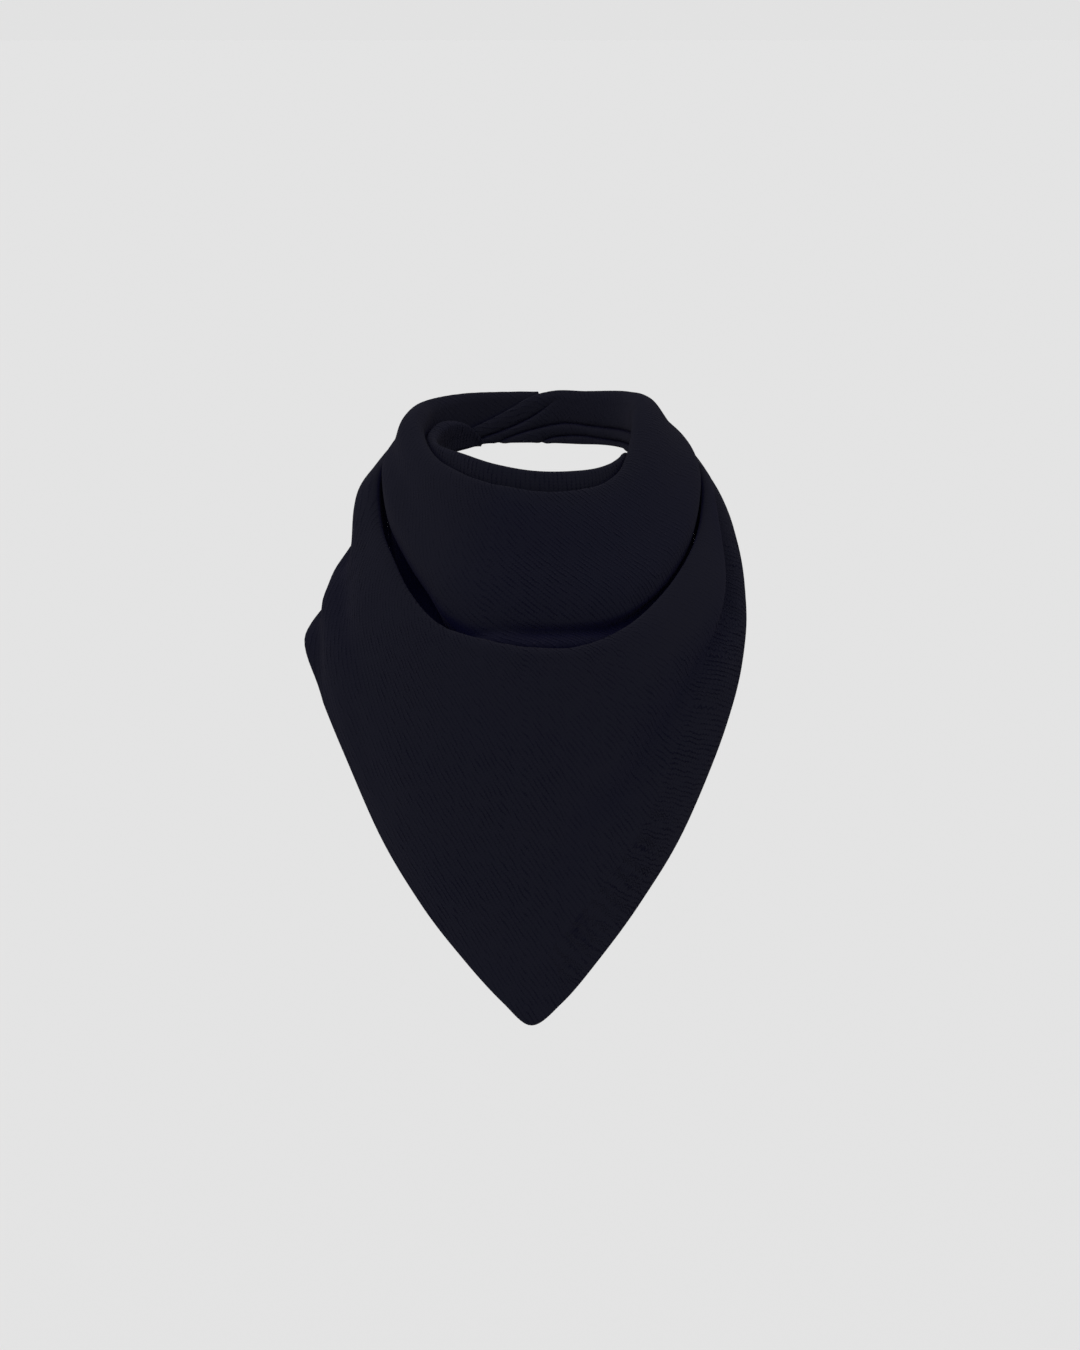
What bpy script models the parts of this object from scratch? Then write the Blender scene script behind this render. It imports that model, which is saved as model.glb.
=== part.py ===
"""A triangular knitted scarf wound round a neck, filled out as if worn.

The scarf is one triangle of soft knit. Its point hangs at the front, its long
edge is folded down as a cowl and rolled in at the neck, and its two corners go
round to the nape, where the left one lies outside and the right one inside.
Each stretch that shows is a cloth wall of even thickness, made from sections
taken round the neck. A section is a curve in radius and height at one angle:
0 degrees is the front (-Y), +90 the right (+X) and 180 the nape (+Y).
The origin is on the neck's axis, level with the front of the neck opening.
Sizes in the tables are in millimetres and degrees.
"""

import math

import bpy
import numpy as np

MM = 0.001

WALL = 2.0  # thickness of the knit
SEAM = 0.5  # space left where two stretches meet along the pocket
END_SEAM = 1.4  # the same where one stretch ends at the next, measured round the neck
ROLL = 4.0  # half the width of the soft roll along the rim and the inner wrap
POCKET_FLOOR = 2.5  # flat bottom of the cowl's pocket, to each side of the seam
PANEL_RADIUS = 140.0  # about how far the front panel's creases lie from the neck's axis
LAYER_EDGE = 4.0  # height over which a layer's edge steps in

LEFT_EDGE = -150.0  # where the front panel hands over to the left end
RIGHT_EDGE = 168.0  # where the front panel ends under the left end
NECK_START = -184.0  # the neck wrap's hidden end at the nape
NECK_END = 97.5  # where the neck wrap hands over to the right end
RIGHT_END_STOP = 212.0  # where the right end stops, on the inside of the nape
LOBE_END = -105.0  # where the inner wrap's rounded lobe runs into its plain part
LOBE_START = -84.0  # where its roll starts to grow fuller towards the lobe
LOBE_SPAN = 24.0  # how far round the neck it grows
STATION = 7.5  # angle from one section to the next

# steps along a section between its corners
FOLD_STEPS = [1, 1, 2, 1, 2]  # pocket, floor, inside, near top, top, outside
NECK_STEPS = [1, 1, 1, 1, 1, 2, 2, 1, 2, 3]  # pocket, floor, shelf, crease, lip, swell, ..., turned in
INNER_STEPS = [1, 2, 1, 1, 2, 3]
FOLD_TOP = sum(FOLD_STEPS[:4])  # where along its section the cowl fold has its crest
NECK_RIM = sum(NECK_STEPS[:8])  # where along its section the neck wrap has its rim

NAVY_BLACK = (0.0080, 0.0080, 0.0137, 1.0)
KNIT_ROUGHNESS = 0.95

# bottom of the cowl's pocket, where the neck wrap turns up into the front panel
POCKET = [
    # angle, radius, height
    (-184, 90.0, 4),
    (-165, 90.0, 6),
    (-150, 90.0, 9),
    (-120, 94.0, -6),
    (-105, 98.0, -22),
    (-90, 99.5, -45),
    (-75, 99.0, -74),
    (-60, 99.5, -98),
    (-45, 104.0, -114),
    (-30, 111.0, -123),
    (-15, 113.5, -128),
    (0, 115.5, -130),
    (15, 116.5, -130),
    (30, 117.5, -126),
    (45, 117.2, -118),
    (60, 116.2, -100),
    (75, 115.3, -76),
    (90, 114.6, -48),
    (105, 110.0, -20),
    (120, 101.0, -3),
    (150, 85.5, 8),
    (170, 82.0, 8),
    (190, 80.0, 5),
    (216, 79.5, 4),
]

# the cowl fold along the top of the front panel
COWL = [
    # angle, radius, height, width of the fold's outer slope, fullness below it
    (-150, 94.0, 26, 2, 1),
    (-120, 99.5, 14, 6, 1),
    (-105, 101.5, -0.5, 16, 0),
    (-90, 107.0, -15.5, 14.5, 1),
    (-75, 108.8, -44, 11, 6),
    (-60, 111.2, -64.5, 13, 12),
    (-45, 117.0, -86.5, 11, 14),
    (-30, 123.0, -104.5, 9, 12),
    (-15, 126.5, -112, 7, 9),
    (0, 128.0, -117, 6, 8),
    (15, 128.5, -117, 6, 9),
    (30, 129.5, -106, 7, 12),
    (45, 126.5, -88, 10, 15),
    (60, 125.3, -66, 11.5, 15),
    (75, 123.4, -44, 13.5, 7),
    (90, 121.5, -17, 14, 4),
    (105, 115.0, 2, 12.5, 4),
    (120, 108.5, 15, 7, 3),
    (150, 93.0, 28, 3, 1),
    (170, 88.5, 32, 2, 0),
]

# the two legs of the triangle, from the point up over each shoulder
LEFT_HEM = [
    # angle from the front, radius, height
    (0, 105.0, -383),
    (10, 107.0, -367),
    (23, 112.5, -339),
    (38, 124.0, -297),
    (50, 137.0, -249),
    (59, 150.0, -196),
    (67, 156.5, -161),
    (77, 162.0, -125),
    (84, 151.0, -112),
    (90, 141.5, -98),
    (107, 122.0, -48),
    (137, 104.0, -6),
    (150, 99.5, 1),
]
RIGHT_HEM = [
    # angle from the front, radius, height
    (0, 105.0, -383),
    (12, 107.5, -367),
    (24, 113.0, -339),
    (38, 124.5, -297),
    (50, 138.0, -249),
    (59, 150.0, -196),
    (67, 154.5, -156),
    (75, 154.5, -123),
    (88, 149.0, -92),
    (107, 134.0, -50),
    (137, 108.0, -4),
    (155, 96.5, 4),
    (170, 91.0, 6),
]

# creases pressed into the front panel, each along a line of heights by angle
CREASES = {
    "upper_left_pleat": dict(
        line=[(-150, 16), (-120, -14), (-105, -34), (-90, -57), (-72, -90), (-58, -124), (-48, -150)],
        depth=[(-150, 1), (-120, 5), (-105, 10), (-90, 11), (-72, 7), (-58, 3), (-48, 0)],
        above=13,
        below=9,
    ),
    "lower_left_pleat": dict(
        line=[(-105, -44), (-95, -72), (-88, -90), (-80, -102), (-72, -124), (-66, -150)],
        depth=[(-105, 2), (-95, 6), (-88, 11), (-80, 9), (-72, 5), (-66, 0)],
        above=8,
        below=8,
    ),
    "right_fold": dict(
        line=[(8, -300), (19, -236), (28, -216), (38, -180), (53, -133), (64, -110), (72, -91),
              (79, -71), (86, -46), (94, -20), (112, 4)],
        depth=[(8, 0), (19, 3), (28, 5), (38, 6), (53, 8), (64, 11), (72, 13), (79, 14), (86, 12),
               (94, 7), (112, 1)],
        above=10,
        below=13,
    ),
}

# the turn round the neck, from its swell over the cowl to the rolled rim
NECK = [
    # angle, swell radius and height, crease radius and height, shelf radius under the crease,
    # rim radius and height, turn-in, half width of the rim's roll
    (-184, 87.3, 20, 87.4, 13, 87.5, 86.5, 38, 32, 4),
    (-165, 87.3, 20, 87.4, 14, 87.5, 86.5, 38, 33, 4),
    (-150, 87.5, 21, 87.5, 16, 87.5, 86.5, 38, 34, 4),
    (-120, 92.5, 14, 92, 5, 91.8, 86, 35, 33, 6.5),
    (-105, 97.5, 6, 95.5, -6, 95, 82, 33, 33, 7),
    (-90, 102.3, -5, 97, -26, 96.5, 82, 26, 32, 7),
    (-75, 103, -25, 92, -56, 94, 79, 14, 30, 6),
    (-60, 101.5, -48, 83, -80, 87, 77, 4, 29, 5),
    (-45, 103.5, -67, 86, -98, 92, 75.5, -3, 28, 4.5),
    (-32, 108, -79, 101, -116, 104, 75, -8, 28, 4),
    (-22, 111, -84, 110.5, -113, 114.5, 75, -11, 28, 4),
    (-12, 114, -87, 112, -107, 121, 75, -13, 28, 4),
    (0, 117, -88, 109, -108.5, 121.5, 75, -15.5, 28, 4),
    (15, 119, -89, 109.5, -108.5, 122, 75, -16.5, 28, 4),
    (30, 120.5, -86, 110.5, -107, 120.5, 75, -15.5, 28, 4),
    (45, 120, -76, 111.5, -95, 114.5, 75, -12, 28, 4),
    (60, 119.4, -57, 112.5, -77, 113, 76, -3, 29, 4.5),
    (75, 119, -34, 113, -54, 112.8, 76.5, 13, 30, 5),
    (90, 118, -9, 113.5, -27, 112.6, 77, 30, 32, 5),
    (105, 110.8, 10, 108, -5, 107.8, 80, 41, 37, 5),
    (120, 100.5, 19, 98.8, 9, 98.5, 80.5, 42, 37, 5),
    (150, 83.5, 21, 83.2, 15, 83, 78, 40, 36, 4.5),
    (170, 80.5, 20, 80, 15, 79.8, 77.5, 39, 35, 4),
    (180, 80, 18, 79.2, 13, 78.8, 77, 35, 31, 4),
    (190, 80, 13, 78.7, 9.5, 78, 77, 27, 23, 4),
    (202, 80, 8, 78.6, 6.5, 78, 77, 19, 15, 4),
    (216, 79.5, 5, 78.3, 4.6, 77.6, 77, 12, 9, 4),
]

# overlapping layers on the inside of the right end; each step is nearer the neck
LAYERS = [
    # step inward, its upper edge as heights by angle
    (2.5, [(100, 60), (150, 50), (164, 35), (177, 22), (193, 12), (208, 6), (216, 3)]),
    (2.2, [(100, 14), (142, 15), (162, 16), (177, 12), (198, 3), (216, -9)]),
    (1.8, [(100, 6), (134, 7), (153, 8), (170, 5), (180, -1), (216, -20)]),
]

# the second turn, inside the rim, from its rounded lobe at the left
INNER = [
    # angle, crest radius, crest height, depth outside, depth inside
    (-147, 66.5, 7, 3, 4),
    (-142, 66.0, 13, 9, 10),
    (-136, 65.8, 18, 15, 16),
    (-128, 66.0, 21, 18, 20),
    (-115, 67.3, 22, 21, 23),
    (-100, 69.0, 18, 24, 28),
    (-83, 69.0, 13, 26, 36),
    (-66, 67.5, 10, 28, 40),
    (-46, 65.5, 7, 30, 42),
    (-22, 64.0, 1, 30, 42),
    (0, 63.0, -3, 28, 40),
    (27, 64.5, -4, 28, 40),
    (45, 66.0, -3, 28, 40),
    (58, 66.5, -1, 28, 40),
    (72, 67.0, 2, 27, 38),
    (84, 67.5, 4, 26, 36),
]

# the left corner laid over the nape, tapering to its tip
LEFT_END = [
    # angle, inner radius, inner height, top radius, top height, slope, hem radius, hem height
    (-225, 109.5, 11, 111.5, 17, 1.5, 114.0, 10),
    (-215, 103.5, 12, 106.0, 25, 2, 109.5, 7),
    (-200, 96.0, 13, 99.5, 32, 2, 103.0, 6),
    (-180, 93.5, 14, 96.5, 35, 2, 98.5, 5),
    (-165, 91.5, 12, 95.5, 33, 2, 98.0, 3),
    (-150, 90.0, 9, 94.0, 26, 2, 99.5, 1),
]


def smooth(rows, at, tight=False):
    """Values at the given places, on a smooth curve through rows whose first column is the place.

    A tight curve never swings past its rows.
    """
    rows = np.array(rows, dtype=float)
    at = np.atleast_1d(np.asarray(at, dtype=float))
    place = rows[:, 0]
    slope = np.gradient(rows[:, 1:], place, axis=0)
    if tight:
        step = np.diff(place)[:, None]
        rate = np.diff(rows[:, 1:], axis=0) / step
        before, after = rate[:-1], rate[1:]
        heavy_before = 2 * step[1:] + step[:-1]
        heavy_after = step[1:] + 2 * step[:-1]
        turning = before * after <= 0
        safe_before = np.where(turning, 1, before)
        safe_after = np.where(turning, 1, after)
        mean = (heavy_before + heavy_after) / (heavy_before / safe_before + heavy_after / safe_after)
        slope[1:-1] = np.where(turning, 0, mean)
    i = np.clip(np.searchsorted(place, at, side="right") - 1, 0, len(place) - 2)
    span = (place[i + 1] - place[i])[:, None]
    t = np.clip((at - place[i])[:, None] / span, 0, 1)
    start = (1 + 2 * t) * (1 - t) ** 2
    leave = t * (1 - t) ** 2
    arrive = t * t * (t - 1)
    low = rows[i, 1:]
    high = rows[i + 1, 1:]
    return start * low + (1 - start) * high + span * (leave * slope[i] + arrive * slope[i + 1])


def curve_through(corners, steps):
    """Points along a smooth curve through the corners, with a number of steps in each span."""
    corners = np.array(corners, dtype=float)
    length = np.concatenate([[0], np.cumsum(np.linalg.norm(np.diff(corners, axis=0), axis=1))])
    rows = np.column_stack([length, corners])
    at = [np.linspace(length[k], length[k + 1], n, endpoint=False) for k, n in enumerate(steps)]
    return smooth(rows, np.concatenate(at + [length[-1:]]), tight=True)


def eased(x):
    """0 below 0, 1 above 1 and an even slope between."""
    x = np.clip(x, 0, 1)
    return x * x * (3 - 2 * x)


def crease_push(angle, height):
    """How far the creases draw the front panel in at an angle and height."""
    push = np.zeros_like(height)
    for crease in CREASES.values():
        line = crease["line"]
        if not line[0][0] <= angle <= line[-1][0]:
            continue
        middle = smooth(line, angle)[0, 0]
        ahead = smooth(line, min(angle + 1, line[-1][0]))[0, 0]
        behind = smooth(line, max(angle - 1, line[0][0]))[0, 0]
        steepness = math.hypot(1, (ahead - behind) / (2 * math.radians(PANEL_RADIUS)))
        off = (height - middle) / steepness
        width = np.where(off > 0, crease["above"], crease["below"])
        push += smooth(crease["depth"], angle)[0, 0] * np.exp(-((off / width) ** 2))
    return push


def front_section(angle):
    """From the pocket up over the cowl fold and down to the hem."""
    pocket_radius, pocket_height = smooth(POCKET, angle)[0]
    top_radius, top_height, slope, fullness = smooth(COWL, angle)[0]
    hem = LEFT_HEM if angle < 0 else RIGHT_HEM
    hem_radius, hem_height = smooth(hem, abs(angle))[0]
    return fold_section(
        (pocket_radius + SEAM / 2, pocket_height), (top_radius, top_height), slope, fullness,
        (hem_radius, hem_height), angle,
    )


def fold_section(pocket, top, slope, fullness, hem, angle, body_steps=4):
    """One section of a sheet that comes up from a pocket, folds over and falls to its hem."""
    floor = (pocket[0] + POCKET_FLOOR, pocket[1])
    inside = (floor[0] + 0.5 * (top[0] - floor[0]), floor[1] + 0.35 * (top[1] - floor[1]))
    near_top = (0.4 * inside[0] + 0.6 * top[0], top[1] - 0.3 * ROLL)
    outside = (top[0] + slope, top[1] - 0.95 * slope)
    fall = [
        (
            outside[0] + share * (hem[0] - outside[0]) + fullness * 4 * share * (1 - share),
            outside[1] + share * (hem[1] - outside[1]),
        )
        for share in (0.25, 0.5, 0.75, 1.0)
    ]
    corners = [pocket, floor, inside, near_top, top, outside] + fall
    section = curve_through(corners, FOLD_STEPS + [body_steps] * 4)
    weight = eased((np.arange(len(section)) - FOLD_TOP) / 3)
    section[:, 0] -= weight * crease_push(angle, section[:, 1])
    return section


def neck_section(angle):
    """From the pocket out over the swell, up to the rolled rim and down inside it."""
    pocket_radius, pocket_height = smooth(POCKET, angle)[0]
    row = smooth(NECK, angle)[0]
    swell_radius, swell_height, crease_radius, crease_height, shelf_radius = row[:5]
    rim_radius, rim_height, turn, roll = row[5:]
    turn_radius = rim_radius - roll
    floor_radius = pocket_radius - SEAM / 2 - POCKET_FLOOR
    lean = swell_radius - rim_radius
    rise = rim_height - swell_height
    corners = [
        (pocket_radius - SEAM / 2, pocket_height),
        (floor_radius, pocket_height),
        (shelf_radius, 0.6 * crease_height + 0.4 * pocket_height),
        (crease_radius, crease_height),
        (0.15 * crease_radius + 0.85 * swell_radius, 0.5 * (crease_height + swell_height)),
        (swell_radius, swell_height),
        (rim_radius + 0.62 * lean, swell_height + 0.45 * rise),
        (rim_radius + min(1.8 * roll, 0.3 * lean + 1.5), rim_height - 0.09 * rise - 1),
        (rim_radius, rim_height),
        (turn_radius, rim_height - 1.2 * roll),
        (turn_radius, rim_height - turn),
    ]
    return curve_through(corners, NECK_STEPS)


def right_end_section(angle):
    """The neck wrap's section, with layers stepped in towards the neck on its inner side."""
    section = neck_section(angle)
    inner = np.arange(len(section)) > NECK_RIM
    for step, edge in LAYERS:
        below = smooth(edge, angle)[0, 0] - section[:, 1]
        section[:, 0] -= inner * step * eased(0.5 + below / LAYER_EDGE)
    return section


def inner_section(angle):
    """A soft roll standing inside the neck wrap's turned-in edge."""
    crest_radius, crest_height, outside, inside = smooth(INNER, angle)[0]
    lobe = eased((LOBE_START - angle) / LOBE_SPAN)
    roll = ROLL * (1 + 0.8 * lobe)
    rim_radius, _, _, rim_roll = smooth(NECK, angle)[0, 5:]
    outer_radius = min(crest_radius + ROLL, rim_radius - rim_roll - WALL - SEAM)
    round_off = min(ROLL, 0.8 * outside)
    corners = [
        (outer_radius, crest_height - outside),
        (outer_radius, crest_height - 0.5 * outside - 0.4 * round_off),
        (crest_radius + 0.55 * (outer_radius - crest_radius), crest_height - 0.35 * round_off),
        (crest_radius, crest_height),
        (crest_radius - 0.8 * roll, crest_height - 0.6 * round_off),
        (crest_radius - roll + 4 * lobe, crest_height - 0.5 * inside - 0.3 * round_off),
        (crest_radius - roll + 5 * lobe, crest_height - inside),
    ]
    return curve_through(corners, INNER_STEPS)


def left_end_section(angle):
    """The left corner's band: turned in at its top, plain at its hem."""
    in_radius, in_height, top_radius, top_height, slope, hem_radius, hem_height = smooth(LEFT_END, angle)[0]
    return fold_section(
        (in_radius + SEAM / 2, in_height), (top_radius, top_height), slope, 1.0,
        (hem_radius, hem_height), angle, body_steps=1,
    )


def knit_material(name):
    material = bpy.data.materials.new(name)
    material.use_nodes = True
    surface = material.node_tree.nodes["Principled BSDF"]
    surface.inputs["Base Color"].default_value = NAVY_BLACK
    surface.inputs["Roughness"].default_value = KNIT_ROUGHNESS
    surface.inputs["Metallic"].default_value = 0.0
    material.diffuse_color = NAVY_BLACK
    return material


def cloth(name, angles, section, collection):
    """A wall of knit over a sheet that runs through the sections at the angles."""
    rows = [section(angle) for angle in angles]
    points = []
    for angle, row in zip(angles, rows):
        turn = math.radians(angle)
        points += [(r * math.sin(turn) * MM, -r * math.cos(turn) * MM, z * MM) for r, z in row]
    across = len(rows[0])
    quads = [
        (i * across + j, i * across + j + 1, (i + 1) * across + j + 1, (i + 1) * across + j)
        for i in range(len(angles) - 1)
        for j in range(across - 1)
    ]
    mesh = bpy.data.meshes.new(name)
    mesh.from_pydata(points, [], quads)
    mesh.materials.append(knit_material(name + "_knit"))
    for face in mesh.polygons:
        face.use_smooth = True
    piece = bpy.data.objects.new(name, mesh)
    collection.objects.link(piece)
    wall = piece.modifiers.new("wall", "SOLIDIFY")
    wall.thickness = WALL * MM
    wall.offset = 0.0
    wall.use_even_offset = True
    wall.use_rim = True
    return piece


def stations(start, stop, step=STATION):
    """The angles of a sheet's sections: its two ends, and every whole step well between them."""
    first = math.ceil((start + step / 4) / step)
    last = math.floor((stop - step / 4) / step)
    return [start] + [k * step for k in range(first, last + 1)] + [stop]


def seam_turn(gap, radius):
    """The angle that a seam's gap takes at a radius."""
    return math.degrees(gap / radius)


for leftover in list(bpy.data.objects):
    bpy.data.objects.remove(leftover, do_unlink=True)
scarf = bpy.data.collections.new("cashmere_scarf")
bpy.context.scene.collection.children.link(scarf)

cloth("front_panel", stations(LEFT_EDGE, RIGHT_EDGE), front_section, scarf)
cloth("neck_wrap", stations(NECK_START, NECK_END), neck_section, scarf)

right_start = NECK_END + seam_turn(END_SEAM, smooth(NECK, NECK_END)[0, 5])
cloth("right_end", stations(right_start, RIGHT_END_STOP), right_end_section, scarf)

lobe_stations = stations(INNER[0][0], LOBE_END, STATION / 2)
cloth("inner_wrap", lobe_stations + stations(LOBE_END, INNER[-1][0])[1:], inner_section, scarf)

left_stop = LEFT_EDGE - seam_turn(END_SEAM, smooth(POCKET, LEFT_EDGE)[0, 0])
cloth("left_end", stations(LEFT_END[0][0], left_stop), left_end_section, scarf)
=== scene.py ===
"""A triangular cashmere scarf wound round a neck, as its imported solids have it, in its knit."""

import math

import bpy
import numpy as np
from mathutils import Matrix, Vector


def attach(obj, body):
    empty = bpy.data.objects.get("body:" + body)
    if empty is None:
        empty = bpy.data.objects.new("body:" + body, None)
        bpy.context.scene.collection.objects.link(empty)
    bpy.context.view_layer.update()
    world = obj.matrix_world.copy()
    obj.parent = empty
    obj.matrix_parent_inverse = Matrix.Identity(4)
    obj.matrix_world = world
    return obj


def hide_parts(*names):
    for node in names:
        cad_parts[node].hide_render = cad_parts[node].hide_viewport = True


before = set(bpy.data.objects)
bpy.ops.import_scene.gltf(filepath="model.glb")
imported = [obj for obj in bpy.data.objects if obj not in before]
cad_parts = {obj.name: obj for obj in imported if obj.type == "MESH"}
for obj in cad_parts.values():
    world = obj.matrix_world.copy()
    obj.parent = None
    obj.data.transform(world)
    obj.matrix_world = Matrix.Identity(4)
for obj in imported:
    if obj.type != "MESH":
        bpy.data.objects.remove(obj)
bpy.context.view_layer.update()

# ---------------------------------------------------------------------------
# The studio: one pale matt floor that runs far back, at standing height below
# the neck, an even pale sky for fill, and two broad soft lamps from the front.

PALE = 0.761  # the floor as the picture shows it
FLOOR_DROP = 1.45  # from the neck down to the floor, for someone standing
FLOOR_REACH = 60.0
SKY = PALE  # the same, so that the floor meets the sky with no line
KEY = dict(strength=1.05, spread=60, azimuth=-20, elevation=30)
FILL = dict(strength=0.55, spread=70, azimuth=8, elevation=5)

floor_mesh = bpy.data.meshes.new("floor")
floor_mesh.from_pydata(
    [
        (x * FLOOR_REACH, y * FLOOR_REACH, -FLOOR_DROP)
        for x, y in ((-1, -1), (1, -1), (1, 1), (-1, 1))
    ],
    [], [(0, 1, 2, 3)],
)
floor = bpy.data.objects.new("floor", floor_mesh)
bpy.context.scene.collection.objects.link(floor)

# The floor is darkened by what the lamps add to the sky's light on it.
lamp_share = sum(
    lamp["strength"] * math.sin(math.radians(lamp["elevation"])) / math.pi for lamp in (KEY, FILL)
)
matt = bpy.data.materials.new("pale_floor")
matt.use_nodes = True
matt_surface = matt.node_tree.nodes["Principled BSDF"]
matt_surface.inputs["Base Color"].default_value = (*[PALE / (SKY + lamp_share)] * 3, 1)
matt_surface.inputs["Roughness"].default_value = 1.0
matt_surface.inputs["Specular IOR Level"].default_value = 0.0
floor_mesh.materials.append(matt)

sky = bpy.data.worlds.new("pale_sky")
sky.use_nodes = True
sky.node_tree.nodes["Background"].inputs["Color"].default_value = (SKY, SKY, SKY, 1)
bpy.context.scene.world = sky
bpy.context.scene.view_settings.view_transform = "Standard"

for name, lamp in (("key", KEY), ("fill", FILL)):
    light = bpy.data.lights.new(name, "SUN")
    light.energy = lamp["strength"]
    light.angle = math.radians(lamp["spread"])
    turn, rise = math.radians(lamp["azimuth"]), math.radians(lamp["elevation"])
    towards = Vector(
        (math.sin(turn) * math.cos(rise), -math.cos(turn) * math.cos(rise), math.sin(rise))
    )
    holder = bpy.data.objects.new(name, light)
    holder.rotation_euler = towards.to_track_quat("Z", "Y").to_euler()
    bpy.context.scene.collection.objects.link(holder)

CAMERA_AIM = Vector((0.007, -0.020, -0.1505))
CAMERA_AWAY = 4.0
CAMERA_RISE = math.radians(8)
SENSOR = 36.0
PICTURE_HEIGHT = 0.945  # what the picture takes in at the scarf, in metres

camera = bpy.data.objects.new("camera", bpy.data.cameras.new("camera"))
camera.data.sensor_width = SENSOR
camera.data.lens = SENSOR * CAMERA_AWAY / PICTURE_HEIGHT
camera.data.clip_end = 200.0
back = Vector((0, -math.cos(CAMERA_RISE), math.sin(CAMERA_RISE)))
camera.location = CAMERA_AIM + back * CAMERA_AWAY
camera.rotation_euler = back.to_track_quat("Z", "Y").to_euler()
bpy.context.scene.collection.objects.link(camera)
bpy.context.scene.camera = camera

# ---------------------------------------------------------------------------
# The front of the scarf: the doubled-back cowl, the chest point and the two
# legs up over the shoulders, with the left corner carried on round the nape.
# One layer of soft cashmere jersey, its edges the knitted selvedges.

WALL = 2.0  # the knit's thickness, in mm as all sizes of the scarf here
ROLL = 4.0  # half the thickness of a soft roll of the knit
POCKET_FLOOR = 2.5  # half the width of the bottom of the cowl's pocket

# bottom of the cowl's pocket
POCKET = [
    # angle, radius, height
    (-184, 90.0, 4), (-165, 90.0, 6), (-150, 90.0, 9), (-120, 94.0, -6), (-105, 98.0, -22),
    (-90, 99.5, -45), (-75, 99.0, -74), (-60, 99.5, -98), (-45, 104.0, -114),
    (-30, 111.0, -123), (-15, 113.5, -128), (0, 115.5, -130), (15, 116.5, -130),
    (30, 117.5, -126), (45, 117.2, -118), (60, 116.2, -100), (75, 115.3, -76), (90, 114.6, -48),
    (105, 110.0, -20), (120, 101.0, -3), (150, 85.5, 8), (170, 82.0, 8), (190, 80.0, 5),
    (216, 79.5, 4),
]

# the cowl fold, carried on as the top of the left corner's band
COWL = [
    # angle, radius, height, width of the fold's outer slope, fullness below it
    (-225, 111.5, 17, 1.5, 1), (-215, 106.0, 25, 2, 1), (-200, 99.5, 32, 2, 1),
    (-180, 96.5, 35, 2, 1), (-165, 95.5, 33, 2, 1),
    (-150, 94.0, 26, 2, 1), (-120, 99.5, 14, 6, 1), (-105, 101.5, -0.5, 16, 0),
    (-90, 107.0, -15.5, 14.5, 1), (-75, 108.8, -44, 11, 6), (-60, 111.2, -64.5, 13, 12),
    (-45, 117.0, -86.5, 11, 14), (-30, 123.0, -104.5, 9, 12), (-15, 126.5, -112, 7, 9),
    (0, 128.0, -117, 6, 8), (15, 128.5, -117, 6, 9), (30, 129.5, -106, 7, 12),
    (45, 126.5, -88, 10, 15), (60, 125.3, -66, 11.5, 15), (75, 123.4, -44, 13.5, 7),
    (90, 121.5, -17, 14, 4), (105, 115.0, 2, 12.5, 4), (120, 108.5, 15, 7, 3),
    (150, 93.0, 28, 3, 1), (170, 88.5, 32, 2, 0),
]

# inside edge of the band where the left corner goes round the nape
LEFT_INSIDE = [
    # angle, radius, height
    (-225, 109.5, 11), (-215, 103.5, 12), (-200, 96.0, 13), (-180, 93.5, 14), (-165, 91.5, 12),
    (-150, 90.0, 9),
]

# the two legs of the triangle, from the point up over each shoulder
HEM = [
    # angle, radius, height
    (-225, 114.0, 10), (-215, 109.5, 7), (-200, 103.0, 6), (-180, 98.5, 5), (-165, 98.0, 3),
    (-150, 99.5, 1), (-137, 104.0, -6), (-107, 122.0, -48), (-90, 141.5, -98),
    (-84, 151.0, -112), (-77, 162.0, -125), (-67, 156.5, -161), (-59, 150.0, -196),
    (-50, 137.0, -249), (-38, 124.0, -297), (-23, 112.5, -339), (-10, 107.0, -367),
    (0, 105.0, -383),
    (12, 107.5, -367), (24, 113.0, -339), (38, 124.5, -297), (50, 138.0, -249),
    (59, 150.0, -196), (67, 154.5, -156), (75, 154.5, -123), (88, 149.0, -92),
    (107, 134.0, -50), (137, 108.0, -4), (155, 96.5, 4), (170, 91.0, 6),
]

# Creases pressed into the front: each follows a line of heights by angle, is as deep as its
# table by angle says, and fades out over a distance above and below that line.
CREASES = [
    dict(  # upper left pleat
        line=[(-150, 16), (-120, -14), (-105, -34), (-90, -57), (-72, -90), (-58, -124),
              (-48, -150)],
        depth=[(-150, 1), (-120, 5), (-105, 10), (-90, 11), (-72, 7), (-58, 3), (-48, 0)],
        above=13, below=9,
    ),
    dict(  # lower left pleat
        line=[(-105, -44), (-95, -72), (-88, -90), (-80, -102), (-72, -124), (-66, -150)],
        depth=[(-105, 2), (-95, 6), (-88, 11), (-80, 9), (-72, 5), (-66, 0)],
        above=8, below=8,
    ),
    dict(  # long fold down the right
        line=[(8, -300), (19, -236), (28, -216), (38, -180), (53, -133), (64, -110), (72, -91),
              (79, -71), (86, -46), (94, -20), (112, 4)],
        depth=[(8, 0), (19, 3), (28, 5), (38, 6), (53, 8), (64, 11), (72, 13), (79, 14), (86, 12),
               (94, 7), (112, 1)],
        above=10, below=13,
    ),
]


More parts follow.
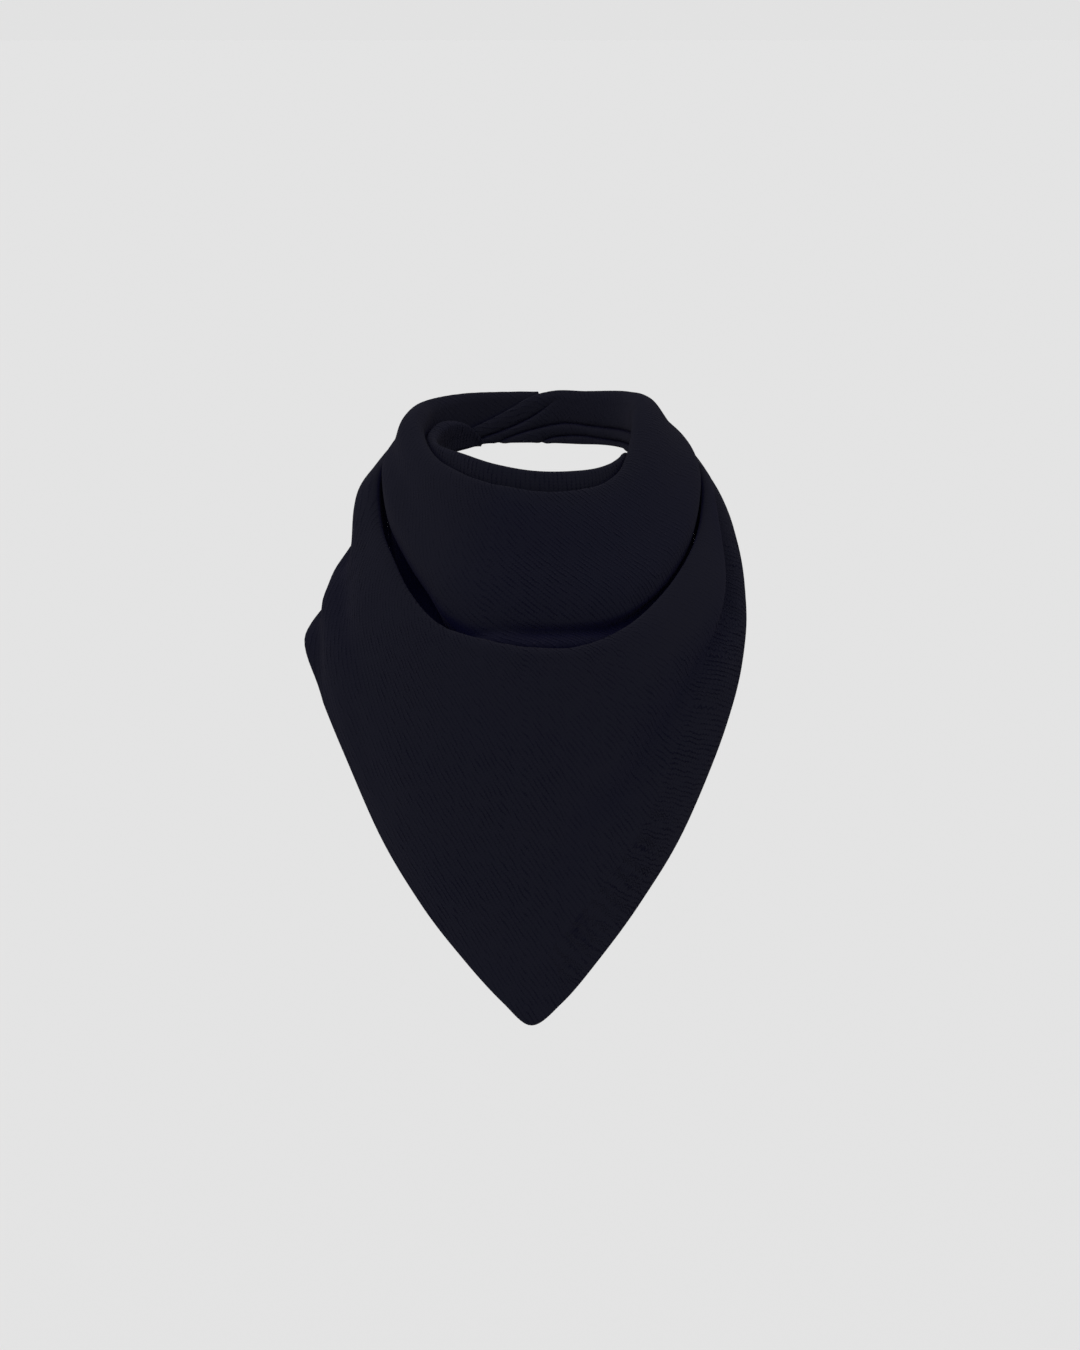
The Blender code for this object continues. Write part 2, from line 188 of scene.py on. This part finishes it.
def smooth(rows, at, tight=False):
    """Values at the given places on a smooth curve through rows; a tight one never overshoots."""
    rows = np.array(rows, dtype=float)
    at = np.atleast_1d(np.asarray(at, dtype=float))
    place = rows[:, 0]
    slope = np.gradient(rows[:, 1:], place, axis=0)
    if tight:
        step = np.diff(place)[:, None]
        rate = np.diff(rows[:, 1:], axis=0) / step
        before, after = rate[:-1], rate[1:]
        heavy_before = 2 * step[1:] + step[:-1]
        heavy_after = step[1:] + 2 * step[:-1]
        turning = before * after <= 0
        safe_before = np.where(turning, 1, before)
        safe_after = np.where(turning, 1, after)
        mean = heavy_before / safe_before + heavy_after / safe_after
        mean = (heavy_before + heavy_after) / mean
        slope[1:-1] = np.where(turning, 0, mean)
    i = np.clip(np.searchsorted(place, at, side="right") - 1, 0, len(place) - 2)
    span = (place[i + 1] - place[i])[:, None]
    t = np.clip((at - place[i])[:, None] / span, 0, 1)
    start = (1 + 2 * t) * (1 - t) ** 2
    leave = t * (1 - t) ** 2
    arrive = t * t * (t - 1)
    low, high = rows[i, 1:], rows[i + 1, 1:]
    return start * low + (1 - start) * high + span * (leave * slope[i] + arrive * slope[i + 1])


def curve_through(corners, steps):
    """A smooth curve through the corners, with so many steps in each span."""
    corners = np.array(corners, dtype=float)
    length = np.concatenate([[0], np.cumsum(np.linalg.norm(np.diff(corners, axis=0), axis=1))])
    at = [np.linspace(length[k], length[k + 1], n, endpoint=False) for k, n in enumerate(steps)]
    at = np.concatenate(at + [length[-1:]])
    return smooth(np.column_stack([length, corners]), at, tight=True)


def eased(x):
    """0 below 0, 1 above 1 and an even slope between."""
    x = np.clip(x, 0, 1)
    return x * x * (3 - 2 * x)


CREASE_RADIUS = 140.0  # about where the creases run, for their steepness


def crease_push(angle, height):
    """How far the creases draw the front in at an angle and height."""
    push = np.zeros_like(height)
    for crease in CREASES:
        line = crease["line"]
        if not line[0][0] <= angle <= line[-1][0]:
            continue
        middle = smooth(line, angle)[0, 0]
        ahead = smooth(line, min(angle + 1, line[-1][0]))[0, 0]
        behind = smooth(line, max(angle - 1, line[0][0]))[0, 0]
        steepness = math.hypot(1, (ahead - behind) / (2 * math.radians(CREASE_RADIUS)))
        off = (height - middle) / steepness
        width = np.where(off > 0, crease["above"], crease["below"])
        push += smooth(crease["depth"], angle)[0, 0] * np.exp(-((off / width) ** 2))
    return push


def front_section(angle):
    """From the pocket up over the cowl fold and down to the hem, in radius and height."""
    pocket = smooth(POCKET if angle > -150 else LEFT_INSIDE, angle)[0]
    top_radius, top_height, slope, fullness = smooth(COWL, angle)[0]
    hem = smooth(HEM, angle)[0]
    floor = (pocket[0] + POCKET_FLOOR, pocket[1])
    inside = (floor[0] + 0.5 * (top_radius - floor[0]), floor[1] + 0.35 * (top_height - floor[1]))
    near_top = (0.4 * inside[0] + 0.6 * top_radius, top_height - 0.3 * ROLL)
    outside = (top_radius + slope, top_height - 0.95 * slope)
    fall = [
        (
            outside[0] + share * (hem[0] - outside[0]) + fullness * 4 * share * (1 - share),
            outside[1] + share * (hem[1] - outside[1]),
        )
        for share in (0.25, 0.5, 0.75, 1.0)
    ]
    corners = [pocket, floor, inside, near_top, (top_radius, top_height), outside] + fall
    section = curve_through(corners, [6, 6, 12, 6, 12] + [24] * 4)
    weight = eased((np.arange(len(section)) - 30) / 18)  # creases start past the fold's top
    section[:, 0] -= weight * crease_push(angle, section[:, 1])
    return section


def rows_along(length, spacing, edge):
    """Places along a length, spaced evenly but close together at its two edges."""
    inner = np.linspace(edge[-1], length - edge[-1], max(2, round(length / spacing)))
    return np.concatenate([edge[:-1], inner, length - np.array(edge[-2::-1])])


EDGE = (0.0, 0.12, 0.45, 1.0, 1.9)  # rows that round off a knitted edge
EDGE_RADIUS = 110  # about how far out the sheets' ends are
EDGE_LENGTH = 150  # about how long a section is


def sheet_points(section, start, stop, turn_step, count):
    """Points over a sheet (turns, rows, xyz), the turns' angles and the points' places along."""
    near_edge = np.degrees(np.array(EDGE) / EDGE_RADIUS)
    angles = start + rows_along(stop - start, turn_step, near_edge)
    share = rows_along(1.0, 1 / count, np.array(EDGE) / EDGE_LENGTH)
    grid, along = [], []
    for angle in angles:
        curve = section(angle)
        length = np.concatenate([[0], np.cumsum(np.linalg.norm(np.diff(curve, axis=0), axis=1))])
        at = share * length[-1]
        at[: len(EDGE)] = EDGE
        at[-len(EDGE):] = length[-1] - np.array(EDGE)[::-1]
        r, z = np.interp(at, length, curve[:, 0]), np.interp(at, length, curve[:, 1])
        turn = math.radians(angle)
        grid.append(np.column_stack([r * math.sin(turn), -r * math.cos(turn), z]))
        along.append(at)
    return np.array(grid), angles, np.array(along)


def grid_normals(grid):
    """The outward unit normals of a grid of points."""
    around = np.gradient(grid, axis=0)
    down = np.gradient(grid, axis=1)
    normal = np.cross(down, around)
    return normal / np.maximum(np.linalg.norm(normal, axis=2, keepdims=True), 1e-9)


def knit_sheet(name, grid, layers, marks=None):
    """A closed wall of knit over a grid of points, with rounded edges.

    Each layer counts the stitches across and along the knit at each point, as UVs, and each
    mark is a number at each point that the knit's material reads.
    """
    turns, rows = grid.shape[:2]
    normal = grid_normals(grid)
    from_edge = np.minimum.outer(
        np.minimum(np.arange(turns), np.arange(turns)[::-1]), np.full(rows, turns)
    )
    from_edge = np.minimum(from_edge, np.minimum(np.arange(rows), np.arange(rows)[::-1])[None, :])
    gap = np.interp(from_edge, range(len(EDGE)), EDGE)
    half = WALL / 2 * np.sqrt(1 - (1 - np.clip(gap / (WALL / 2), 0, 1)) ** 2)
    outer = (grid + normal * half[..., None]).reshape(-1, 3) * 0.001
    inner = (grid - normal * half[..., None]).reshape(-1, 3) * 0.001
    border = (from_edge == 0).ravel()
    number = np.arange(turns * rows)
    under = number.copy()
    under[~border] = turns * rows + np.arange(int((~border).sum()))
    points = np.concatenate([outer, inner[~border]])
    corner = (number.reshape(turns, rows)[:-1, :-1]).ravel()
    quad = np.column_stack([corner, corner + rows, corner + rows + 1, corner + 1])
    faces = np.concatenate([quad, under[quad][:, ::-1]])
    mesh = bpy.data.meshes.new(name)
    mesh.vertices.add(len(points))
    mesh.vertices.foreach_set("co", points.ravel())
    mesh.loops.add(faces.size)
    mesh.loops.foreach_set("vertex_index", faces.ravel().astype(np.int32))
    mesh.polygons.add(len(faces))
    mesh.polygons.foreach_set("loop_start", np.arange(0, faces.size, 4, dtype=np.int32))
    mesh.update(calc_edges=True)
    mesh.polygons.foreach_set("use_smooth", np.ones(len(faces), dtype=bool))
    place = np.concatenate([number, number[~border]])
    for layer, (wales, courses) in layers.items():
        stitches = np.column_stack([np.asarray(wales).ravel(), np.asarray(courses).ravel()])
        uv = mesh.uv_layers.new(name=layer)
        uv.data.foreach_set("uv", stitches[place][faces.ravel()].astype(np.float32).ravel())
    for mark, value in (marks or {}).items():
        layer = mesh.attributes.new(mark, "FLOAT", "POINT")
        layer.data.foreach_set("value", np.asarray(value).ravel()[place].astype(np.float32))
    mesh.validate()
    piece = bpy.data.objects.new(name, mesh)
    bpy.context.scene.collection.objects.link(piece)
    return piece


WALE = 3.2  # width of one column of stitches
COURSE = 2.3  # height of one stitch


class Wire:
    """One value in a material. Sums, products and the like of values add Math nodes."""

    def __init__(self, socket):
        self.socket = socket

    @classmethod
    def node(cls, tree, kind, settings=None, sockets=None, output=0):
        """Adds a node: its settings are set first, then its sockets' values or links."""
        made = tree.nodes.new(kind)
        for key, value in (settings or {}).items():
            setattr(made, key, value)
        for key, value in (sockets or {}).items():
            if isinstance(value, Wire):
                tree.links.new(value.socket, made.inputs[key])
            else:
                made.inputs[key].default_value = value
        return cls(made.outputs[output])

    def math(self, operation, *others):
        sockets = dict(enumerate((self, *others)))
        return Wire.node(self.socket.id_data, "ShaderNodeMath", {"operation": operation}, sockets)

    def __add__(self, other):
        return self.math("ADD", other)

    __radd__ = __add__

    def __mul__(self, other):
        return self.math("MULTIPLY", other)

    __rmul__ = __mul__

    def __sub__(self, other):
        return self.math("SUBTRACT", other)

    def __rsub__(self, other):
        return (self * -1) + other

    def __abs__(self):
        return self.math("ABSOLUTE")

    def __pow__(self, power):
        return self.math("POWER", power)

    def fraction(self):
        return self.math("FRACT")


NAVY = (0.0086, 0.0090, 0.0152, 1)
# painted shade down in the valleys between the columns of stitches
NAVY_PAINTED_VALLEY_SHADE = (0.0024, 0.0026, 0.0088, 1)
# drifting lint in the nap, the knit's own, and a painted sheen where the nap hides the stitches
NAVY_LINT_AND_PAINTED_SHEEN = (0.0106, 0.0101, 0.0152, 1)
NAVY_SHADE = (0.0026, 0.0026, 0.0128, 1)  # down in the folds


def knit_material(name, border_width=0.0):
    """Brushed cashmere jersey: columns of V stitches under a nap, in a blue nearly black.

    Where a border is knitted on, its columns run square to the hem over that width, in mm.
    The mark clear says how well the stitches show through the nap, which also sets the painted
    shade in their valleys and a painted sheen where they hide; sheltered says how far the knit
    takes the shade of the folds, beyond what the light leaves out by itself.
    """
    material = bpy.data.materials.new(name)
    material.use_nodes = True
    tree = material.node_tree
    surface = tree.nodes["Principled BSDF"]
    place = Wire.node(tree, "ShaderNodeTexCoord", output="Object")

    def cloud(scale, detail=2.0, roughness=0.5):
        return Wire.node(
            tree, "ShaderNodeTexNoise", {"noise_dimensions": "3D"},
            {"Vector": place, "Scale": scale, "Detail": detail, "Roughness": roughness},
        )

    def ranged(value, low, high, to_low=0.0, to_high=1.0):
        return Wire.node(
            tree, "ShaderNodeMapRange", {"interpolation_type": "SMOOTHSTEP", "clamp": True},
            {0: value, 1: low, 2: high, 3: to_low, 4: to_high},
        )

    def mixed(factor, first, second):
        return Wire.node(
            tree, "ShaderNodeMix", {"data_type": "RGBA", "clamp_factor": True},
            {0: factor, 6: first, 7: second}, output=2,
        )

    sway = 0.7 * (cloud(40.0) - 0.5) + 0.5 * (cloud(260.0) - 0.5)
    stagger = 0.9 * (cloud(60.0) - 0.5)

    def stitch_relief(layer):
        """How high the knit stands, from 0 in the valley between two columns to 1."""
        stitches = Wire.node(tree, "ShaderNodeUVMap", {"uv_map": layer})
        split = Wire.node(tree, "ShaderNodeSeparateXYZ", sockets={0: stitches})
        across = split + sway
        along = Wire(split.socket.node.outputs[1]) + stagger
        side = abs(across.fraction() - 0.5)  # 0 down the middle of a column, 0.5 at its edge
        lean = (along + 1.1 * side).fraction()
        pit = (2 * abs(lean - 0.5)) ** 2
        streak = Wire.node(
            tree, "ShaderNodeVectorMath", {"operation": "MULTIPLY"},
            {0: stitches, 1: (1.0, 0.2, 1.0)},
        )
        dashes = Wire.node(
            tree, "ShaderNodeTexNoise", sockets={"Vector": streak, "Scale": 1.0, "Detail": 1.0}
        )
        valley = ranged(side, 0.22, 0.5) * ranged(dashes, 0.38, 0.62, 0.2, 1.0)
        return 1 - valley * (0.6 + 0.3 * pit) - 0.2 * pit

    stitch = stitch_relief("stitches")
    firm = 1.0  # how deep the stitches are; the border's are deeper
    if border_width:
        from_hem = Wire.node(
            tree, "ShaderNodeAttribute", {"attribute_name": "from_hem"}, output="Fac"
        )
        inside = ranged(from_hem + 2.0 * sway, border_width - 1.5, border_width + 1.5)
        stitch = inside * stitch + (1 - inside) * stitch_relief("border_stitches")
        firm = 1.6 - 0.6 * inside

    nap = cloud(1500.0, 3.0, 0.7)
    tufts = cloud(420.0, 2.0, 0.6)
    drift = cloud(14.0, 3.0, 0.55)
    clear = Wire.node(tree, "ShaderNodeAttribute", {"attribute_name": "clear"}, output="Fac")
    worn = ranged(cloud(16.0, 3.0), 0.38, 0.62, 0.65, 1.1)
    depth = worn * firm * clear
    height = depth * stitch + 0.16 * nap + 0.24 * tufts

    open_to_light = Wire.node(
        tree, "ShaderNodeAmbientOcclusion", {"samples": 8}, {"Distance": 0.035}, output=1
    )
    sheltered = Wire.node(
        tree, "ShaderNodeAttribute", {"attribute_name": "sheltered"}, output="Fac"
    )
    # Painted shade: the valleys between the columns of stitches are coloured darker, as deep as
    # the stitches are.
    shade = mixed(depth * (1 - stitch), NAVY, NAVY_PAINTED_VALLEY_SHADE)
    # Lighter in drifting patches of lint, the knit's own; a painted sheen where the stitches
    # hide, and painted shade where they show most.
    shade = mixed(0.45 * drift + 0.5 * (nap - 0.5) + 0.12 * (1 - clear), shade, NAVY_LINT_AND_PAINTED_SHEEN)
    shade = mixed(ranged(open_to_light, 0.15, 0.75, 1.0, 0.0) + sheltered, shade, NAVY_SHADE)
    tree.links.new(shade.socket, surface.inputs["Base Color"])

    bump = Wire.node(
        tree, "ShaderNodeBump", sockets={"Strength": 1.0, "Distance": 0.0008, "Height": height}
    )
    tree.links.new(bump.socket, surface.inputs["Normal"])
    for key, value in (
        ("Roughness", 0.95), ("Diffuse Roughness", 1.0), ("Specular IOR Level", 0.0),
        ("Sheen Weight", 0.014), ("Sheen Roughness", 0.5), ("Sheen Tint", (0.8, 0.72, 0.8, 1)),
    ):
        surface.inputs[key].default_value = value
    return material


front_grid, front_angles, front_along = sheet_points(front_section, -225, 168, 1.4, 130)

# The columns of stitches run beside the left leg; a border along the right leg has its
# own, square to the hem.
PANEL_RADIUS = 130.0  # how far out the front is taken to be when it is laid out flat
BORDER = 38.0  # its width
BORDER_START = 20.0  # how far up the right leg it starts
FRONT_LEAN = [  # steepness of the columns, in degrees, by angle
    (-225, 8), (-180, 8), (-145, 22), (-110, 50), (-85, 66), (-60, 66), (-30, 62), (0, 58),
    (30, 55), (60, 58), (100, 45), (168, 20),
]


def leaning_stitches(lean, angles, radius, height):
    """Stitches across and along, for columns as steep as the table of degrees by angle says."""
    around = np.radians(angles) * radius
    steep = np.radians(smooth(lean, angles)[:, 0])

    def summed(rate):
        return np.concatenate([[0], np.cumsum(0.5 * (rate[1:] + rate[:-1]) * np.diff(around))])

    across = summed(np.sin(steep))[:, None] + height * np.cos(steep)[:, None]
    along = summed(np.cos(steep))[:, None] - height * np.sin(steep)[:, None]
    return across, along


def hem_distance(flat, hem_line):
    """For each flat point, how far the hem is, and how far along the hem its nearest point is."""
    length = np.concatenate([[0], np.cumsum(np.linalg.norm(np.diff(hem_line, axis=0), axis=1))])
    far = np.full(len(flat), np.inf)
    along = np.zeros(len(flat))
    for a, b, done in zip(hem_line[:-1], hem_line[1:], length[:-1]):
        span = b - a
        t = np.clip((flat - a) @ span / (span @ span), 0, 1)
        off = np.linalg.norm(flat - a - t[:, None] * span, axis=1)
        closer = off < far
        far = np.where(closer, off, far)
        along = np.where(closer, done + t * np.linalg.norm(span), along)
    return far, along


crest_height = smooth(COWL, front_angles)[:, 1]
crest_at = np.array([
    row[np.argmax(points[:, 2])] for row, points in zip(front_along, front_grid)
])
flat_x = np.radians(front_angles)[:, None] * PANEL_RADIUS + 0 * front_along
flat_y = crest_height[:, None] - (front_along - crest_at[:, None])
tip = int(np.argmin(np.abs(front_angles)))
right_line = np.stack([flat_x, flat_y], axis=2)[tip:, -1]
from_right, up_right = hem_distance(np.column_stack([flat_x.ravel(), flat_y.ravel()]), right_line)
from_hem = from_right + 60 * (1 - eased((up_right - BORDER_START) / 40))

across, along = leaning_stitches(FRONT_LEAN, front_angles, PANEL_RADIUS, flat_y + 200)
under_cowl = np.maximum(flat_y + 190, 0)  # the columns lean over more towards the cowl
facing = np.cos(np.radians(np.clip(front_angles, -90, 90)))[:, None] ** 2
across = across + 0.4 * facing * np.where(under_cowl < 70, under_cowl**2 / 140, under_cowl - 35)
body_stitches = (across / WALE, along / COURSE)
border_stitches = (up_right / WALE, from_right / COURSE)

# Nap covers the stitches along the cowl's roll at the right, and the left is a little softer.
# Where the stitches show less, the knit is painted lighter too, a painted sheen.
below_crest = front_along - crest_at[:, None]
on_roll = eased((front_angles - 22) / 25)[:, None]
on_roll = on_roll * (1 - eased((np.abs(below_crest - 12) - 22) / 16))
front_clear = (1.05 - 0.75 * on_roll) * (1 - 0.25 * eased((-30 - front_angles) / 30)[:, None])

# The shade lies in the creases, a little to the left of their deepest line.
SHADE_TURN = 3  # in degrees
DEEPEST = 14  # the deepest crease
push = np.array([
    crease_push(angle + SHADE_TURN, points[:, 2])
    for angle, points in zip(front_angles, front_grid)
])
front_sheltered = 0.4 * (push / DEEPEST) * eased(below_crest / 8)

front = knit_sheet(
    "front_panel_knit", front_grid,
    {"stitches": body_stitches, "border_stitches": border_stitches},
    {"from_hem": from_hem, "clear": front_clear, "sheltered": front_sheltered},
)
front.data.materials.append(knit_material("front_jersey", BORDER))
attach(front, "root")
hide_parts("front_panel", "left_end")

# ---------------------------------------------------------------------------
# The turn round the neck: the same cloth coming up out of the cowl's pocket,
# swelling over it and rolled in along the rim. Its right end goes on round the
# nape, where its layers lie stepped on the inner side.

NECK = [
    # angle, swell radius and height, crease radius and height, shelf radius under the crease,
    # rim radius and height, turn-in, half width of the rim's roll
    (-184, 87.3, 20, 87.4, 13, 87.5, 86.5, 38, 32, 4),
    (-165, 87.3, 20, 87.4, 14, 87.5, 86.5, 38, 33, 4),
    (-150, 87.5, 21, 87.5, 16, 87.5, 86.5, 38, 34, 4),
    (-120, 92.5, 14, 92, 5, 91.8, 86, 35, 33, 6.5),
    (-105, 97.5, 6, 95.5, -6, 95, 82, 33, 33, 7),
    (-90, 102.3, -5, 97, -26, 96.5, 82, 26, 32, 7),
    (-75, 103, -25, 92, -56, 94, 79, 14, 30, 6),
    (-60, 101.5, -48, 83, -80, 87, 77, 4, 29, 5),
    (-45, 103.5, -67, 86, -98, 92, 75.5, -3, 28, 4.5),
    (-32, 108, -79, 101, -116, 104, 75, -8, 28, 4),
    (-22, 111, -84, 110.5, -113, 114.5, 75, -11, 28, 4),
    (-12, 114, -87, 112, -107, 121, 75, -13, 28, 4),
    (0, 117, -88, 109, -108.5, 121.5, 75, -15.5, 28, 4),
    (15, 119, -89, 109.5, -108.5, 122, 75, -16.5, 28, 4),
    (30, 120.5, -86, 110.5, -107, 120.5, 75, -15.5, 28, 4),
    (45, 120, -76, 111.5, -95, 114.5, 75, -12, 28, 4),
    (60, 119.4, -57, 112.5, -77, 113, 76, -3, 29, 4.5),
    (75, 119, -34, 113, -54, 112.8, 76.5, 13, 30, 5),
    (90, 118, -9, 113.5, -27, 112.6, 77, 30, 32, 5),
    (105, 110.8, 10, 108, -5, 107.8, 80, 41, 37, 5),
    (120, 100.5, 19, 98.8, 9, 98.5, 80.5, 42, 37, 5),
    (150, 83.5, 21, 83.2, 15, 83, 78, 40, 36, 4.5),
    (170, 80.5, 20, 80, 15, 79.8, 77.5, 39, 35, 4),
    (180, 80, 18, 79.2, 13, 78.8, 77, 35, 31, 4),
    (190, 80, 13, 78.7, 9.5, 78, 77, 27, 23, 4),
    (202, 80, 8, 78.6, 6.5, 78, 77, 19, 15, 4),
    (216, 79.5, 5, 78.3, 4.6, 77.6, 77, 12, 9, 4),
]

# overlapping layers on the inside of the right end; each step is nearer the neck
LAYERS = [
    # step inward, its upper edge as heights by angle
    (2.5, [(90, 60), (150, 50), (164, 35), (177, 22), (193, 12), (208, 6), (216, 3)]),
    (2.2, [(90, 14), (142, 15), (162, 16), (177, 12), (198, 3), (216, -9)]),
    (1.8, [(90, 6), (134, 7), (153, 8), (170, 5), (180, -1), (216, -20)]),
]
LAYER_EDGE = 2.0  # the height over which a step comes in
LAYER_GROOVE = 4.2  # how deep the groove over each edge is, for its line of shadow
GROOVE_ABOVE = 1.4  # from the edge up to the groove's middle
GROOVE_WIDTH = 1.9


def neck_section(angle):
    """From the pocket out over the swell, up to the rolled rim and down inside it."""
    pocket_radius, pocket_height = smooth(POCKET, angle)[0]
    row = smooth(NECK, angle)[0]
    swell_radius, swell_height, crease_radius, crease_height, shelf_radius = row[:5]
    rim_radius, rim_height, turn, roll = row[5:]
    turn_radius = rim_radius - roll
    floor_radius = pocket_radius - POCKET_FLOOR
    lean = swell_radius - rim_radius
    rise = rim_height - swell_height
    corners = [
        (pocket_radius, pocket_height),
        (floor_radius, pocket_height),
        (shelf_radius, 0.6 * crease_height + 0.4 * pocket_height),
        (crease_radius, crease_height),
        (0.15 * crease_radius + 0.85 * swell_radius, 0.5 * (crease_height + swell_height)),
        (swell_radius, swell_height),
        (rim_radius + 0.62 * lean, swell_height + 0.45 * rise),
        (rim_radius + min(1.8 * roll, 0.3 * lean + 1.5), rim_height - 0.09 * rise - 1),
        (rim_radius, rim_height),
        (turn_radius, rim_height - 1.2 * roll),
        (turn_radius, rim_height - turn),
    ]
    section = curve_through(corners, [6, 12, 12, 10, 12, 14, 14, 8, 12, 24])
    inner = eased((np.arange(len(section)) - 96) / 16)  # the layers lie inside the rim only
    shown = eased((angle - 92) / 14)
    for step, edge in LAYERS:
        if angle > edge[0][0]:
            below = smooth(edge, angle)[0, 0] - section[:, 1]
            groove = LAYER_GROOVE * np.exp(-(((below + GROOVE_ABOVE) / GROOVE_WIDTH) ** 2))
            section[:, 0] -= shown * inner * (step * eased(0.5 + below / LAYER_EDGE) - groove)
    return section


NECK_LEAN = [  # steepness of the columns, in degrees, by angle
    (-184, 30), (-120, 50), (-90, 62), (-60, 64), (-42, 60), (-22, 48), (0, 40), (20, 42),
    (40, 50), (60, 54), (90, 56), (130, 40), (215, 30),
]

neck_grid, neck_angles, neck_along = sheet_points(neck_section, -184, 212, 1.5, 90)
rim_at = np.array([row[np.argmax(points[:, 2])] for row, points in zip(neck_along, neck_grid)])
over_rim = smooth(NECK, neck_angles)[:, 6][:, None] + neck_along - rim_at[:, None]
NECK_RADIUS = 112.0  # how far out the turn is taken to be when it is laid out flat
neck_wales, neck_courses = leaning_stitches(NECK_LEAN, neck_angles, NECK_RADIUS, over_rim + 50)
neck_stitches = (neck_wales / WALE, neck_courses / COURSE)

# The stitches show best at the middle of the front, and a little more again at the nape.
# Where they show best the knit is painted darker, painted shade, and where least, lighter, a
# painted sheen.
neck_clear = 1.4 - 0.9 * eased((np.abs(neck_angles - 13) - 20) / 42)
neck_clear = neck_clear + 0.35 * eased((neck_angles - 110) / 20)

# The shade lies down in the pocket, lightly over the front, and less inside the rim.
below_swell = smooth(NECK, neck_angles)[:, 1][:, None] - neck_grid[:, :, 2]
outward = neck_along < rim_at[:, None]
neck_sheltered = np.where(outward, 0.3 * eased((below_swell - 16) / 8), -0.1)
facing_front = 1 - eased((np.abs(neck_angles - 28) - 30) / 40)[:, None]
from_rim = eased((rim_at[:, None] - neck_along) / 20)
neck_sheltered = neck_sheltered + 0.15 * facing_front * outward * from_rim

neck = knit_sheet(
    "neck_wrap_knit", neck_grid, {"stitches": neck_stitches},
    {"clear": neck_clear[:, None] + 0 * neck_along, "sheltered": neck_sheltered},
)
neck.data.materials.append(knit_material("neck_jersey"))
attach(neck, "root")
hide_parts("neck_wrap", "right_end")

# ---------------------------------------------------------------------------
# The second turn inside the rim, which is all that shows of the cloth under
# it, from the rounded lobe at the left where it starts.

INNER = [
    # angle, crest radius, crest height, depth outside, depth inside
    (-147, 66.5, 7, 3, 4), (-142, 66.0, 13, 9, 10), (-136, 65.8, 18, 15, 16),
    (-128, 66.0, 21, 18, 20), (-115, 67.3, 22, 21, 23), (-100, 69.0, 18, 24, 28),
    (-83, 69.0, 13, 26, 36), (-66, 67.5, 10, 28, 40), (-46, 65.5, 7, 30, 42),
    (-22, 64.0, 1, 30, 42), (0, 63.0, -3, 28, 40), (27, 64.5, -4, 28, 40),
    (45, 66.0, -3, 28, 40), (58, 66.5, -1, 28, 40), (72, 67.0, 2, 27, 38), (84, 67.5, 4, 26, 36),
]


INNER_GAP = 0.4  # between it and the neck turn's turned-in edge
LOBE_START, LOBE_SPAN = -84, 24  # where the lobe begins, and how far round it grows


def inner_section(angle):
    """A soft roll standing inside the neck wrap's turned-in edge."""
    crest_radius, crest_height, outside, inside = smooth(INNER, angle)[0]
    lobe = eased((LOBE_START - angle) / LOBE_SPAN)
    roll = ROLL * (1 + 0.8 * lobe)
    rim_radius, _, _, rim_roll = smooth(NECK, angle)[0, 5:]
    outer_radius = min(crest_radius + ROLL, rim_radius - rim_roll - WALL - INNER_GAP)
    round_off = min(ROLL, 0.8 * outside)
    corners = [
        (outer_radius, crest_height - outside),
        (outer_radius, crest_height - 0.5 * outside - 0.4 * round_off),
        (crest_radius + 0.55 * (outer_radius - crest_radius), crest_height - 0.35 * round_off),
        (crest_radius, crest_height),
        (crest_radius - 0.8 * roll, crest_height - 0.6 * round_off),
        (crest_radius - roll + 4 * lobe, crest_height - 0.5 * inside - 0.3 * round_off),
        (crest_radius - roll + 5 * lobe, crest_height - inside),
    ]
    return curve_through(corners, [12, 14, 8, 8, 12, 18])


inner_grid, inner_angles, inner_along = sheet_points(inner_section, -147, 84, 1.5, 56)
INNER_RADIUS = 66.0  # how far out the second turn runs
round_inner = np.radians(inner_angles)[:, None] * INNER_RADIUS + 0 * inner_along
in_lobe = eased((LOBE_START - inner_angles) / LOBE_SPAN)[:, None]
inner_sheltered = 0.1 * in_lobe - 0.35 * (1 - in_lobe) + 0 * inner_along
inner = knit_sheet(
    "inner_wrap_knit", inner_grid, {"stitches": (round_inner / WALE, inner_along / COURSE)},
    {"clear": 1.2 + 0 * inner_along, "sheltered": inner_sheltered},
)
inner.data.materials.append(knit_material("inner_jersey"))
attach(inner, "root")
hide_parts("inner_wrap")
